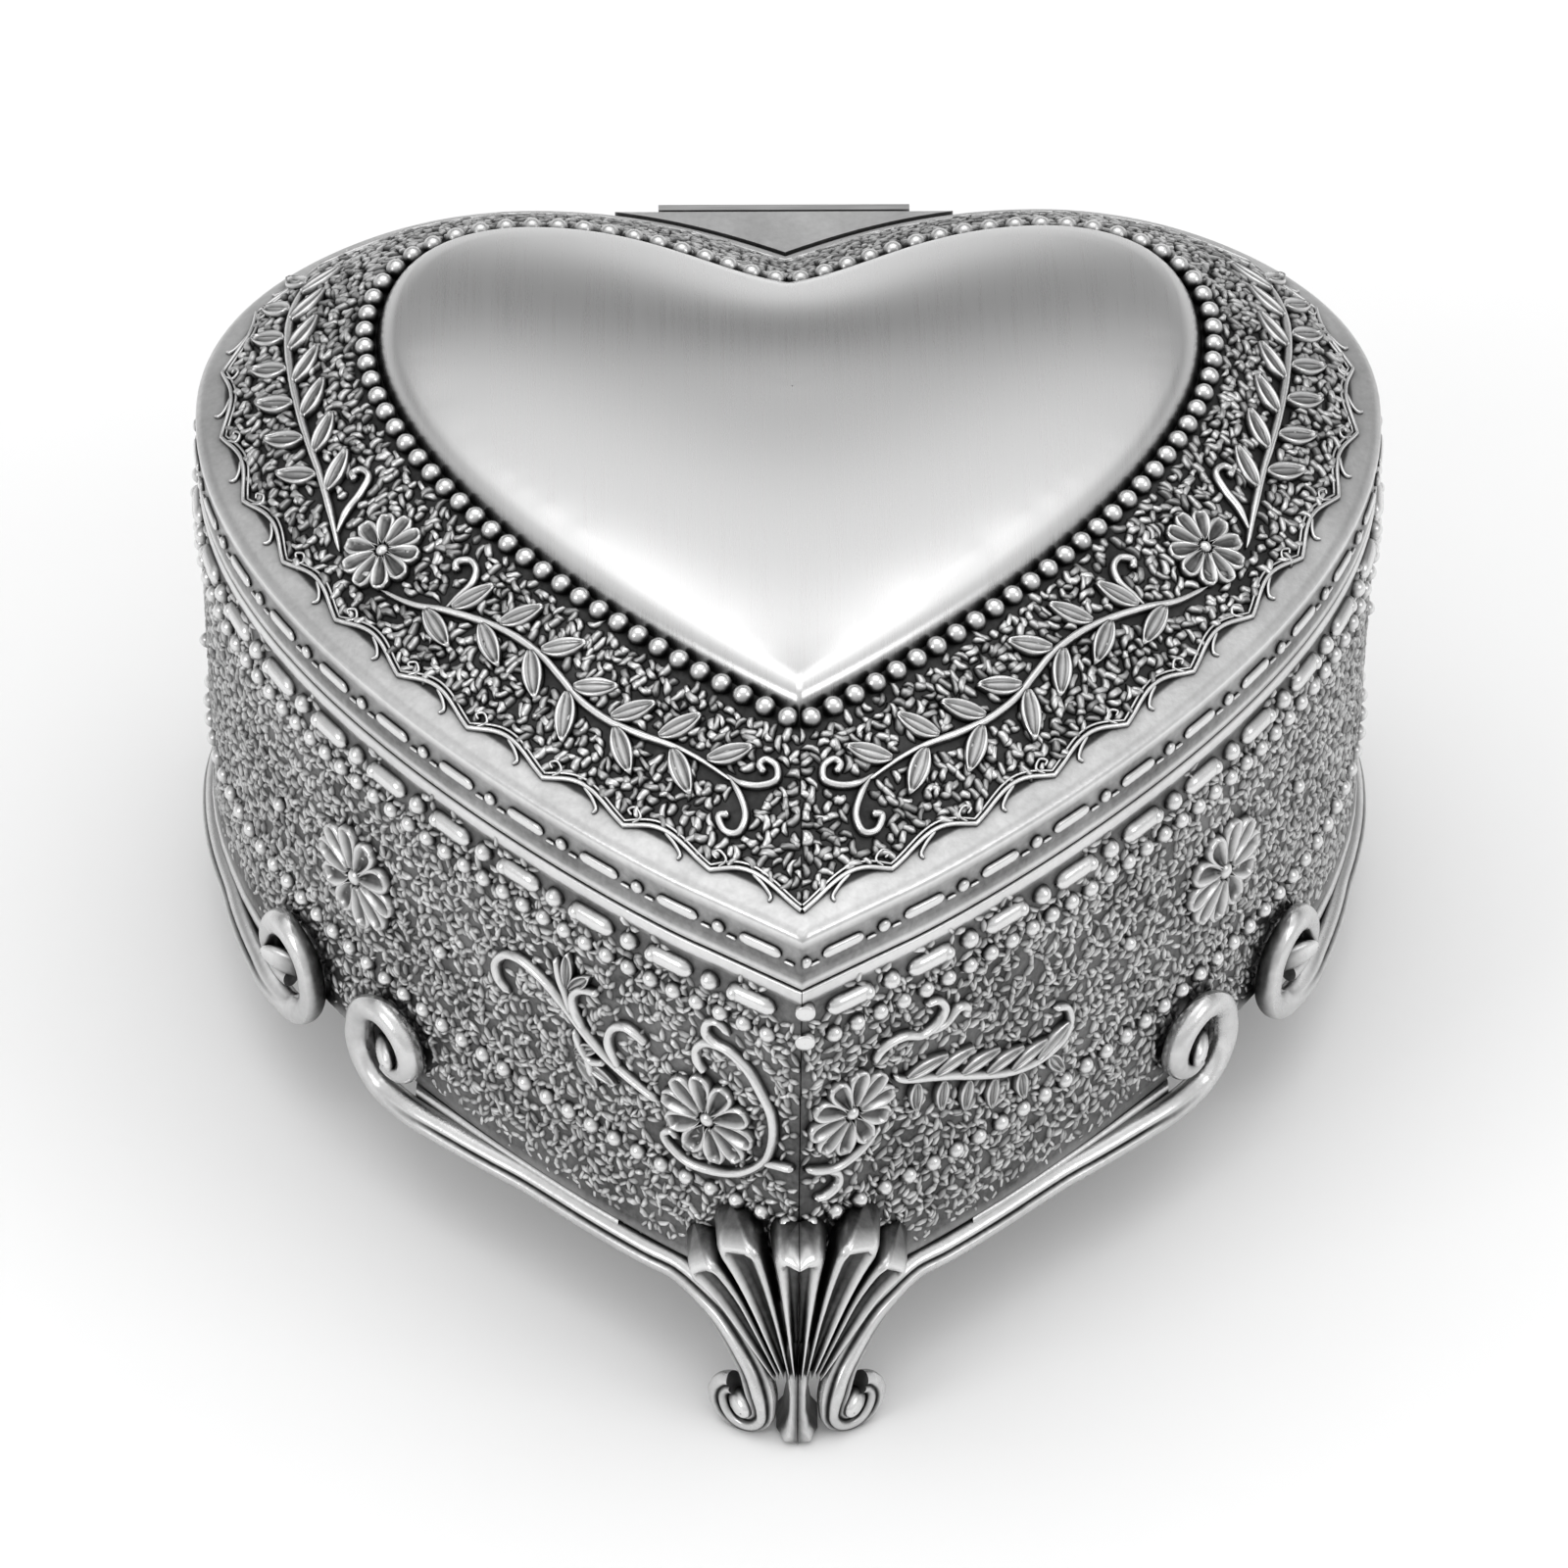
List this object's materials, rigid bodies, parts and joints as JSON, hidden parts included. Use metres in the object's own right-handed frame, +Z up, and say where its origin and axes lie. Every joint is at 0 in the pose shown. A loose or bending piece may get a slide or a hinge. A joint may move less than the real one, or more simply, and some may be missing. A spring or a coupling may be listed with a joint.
{
  "type": "heart-shaped trinket box",
  "caption": "Heart-shaped trinket box in antique silver casting, with a domed hinged lid, scroll feet and a velvet-lined cavity.",
  "frame": {"origin": "middle of the footprint, on the surface the feet stand on", "axes": "+Z up, the heart's point faces -Y, the hinge is at +Y, +X to the right seen from the front"},
  "size_m": [0.1128, 0.1105, 0.0709],
  "materials": {
    "antique_silver": "antiqued silver casting, dark in the hollows and bright on the raised relief",
    "lid_silver": "antiqued silver casting with a brushed satin heart",
    "hinge_steel": "satin steel",
    "velvet": "short-pile velvet over card"
  },
  "bodies": {
    "base": {"side_wall_left": "antique_silver", "side_wall_right": "antique_silver", "back_panel": "antique_silver", "bottom_plate": "hinge_steel", "front_scroll_left": "antique_silver", "front_scroll_right": "antique_silver", "rear_scroll_left": "antique_silver", "rear_scroll_right": "antique_silver", "back_scroll_left": "antique_silver", "back_scroll_right": "antique_silver", "front_palmette_left": "antique_silver", "front_palmette_right": "antique_silver", "rear_palmette_left": "antique_silver", "rear_palmette_right": "antique_silver", "hinge_leaf_lower": "hinge_steel", "hinge_pin": "hinge_steel", "lining_floor": "velvet", "lining_left": "velvet", "lining_right": "velvet", "lining_back": "velvet"},
    "lid": {"lid_shell": "lid_silver", "lid_back_plate": "lid_silver", "hinge_leaf_upper": "hinge_steel", "lid_lining": "velvet"}
  },
  "joints": [
    {"name": "lid_hinge", "type": "hinge", "parent": "base", "child": "lid", "pos_m": [0, 0.05368, 0.05215], "axis": [-1, 0, 0], "range_deg": [0, 100]}
  ]
}
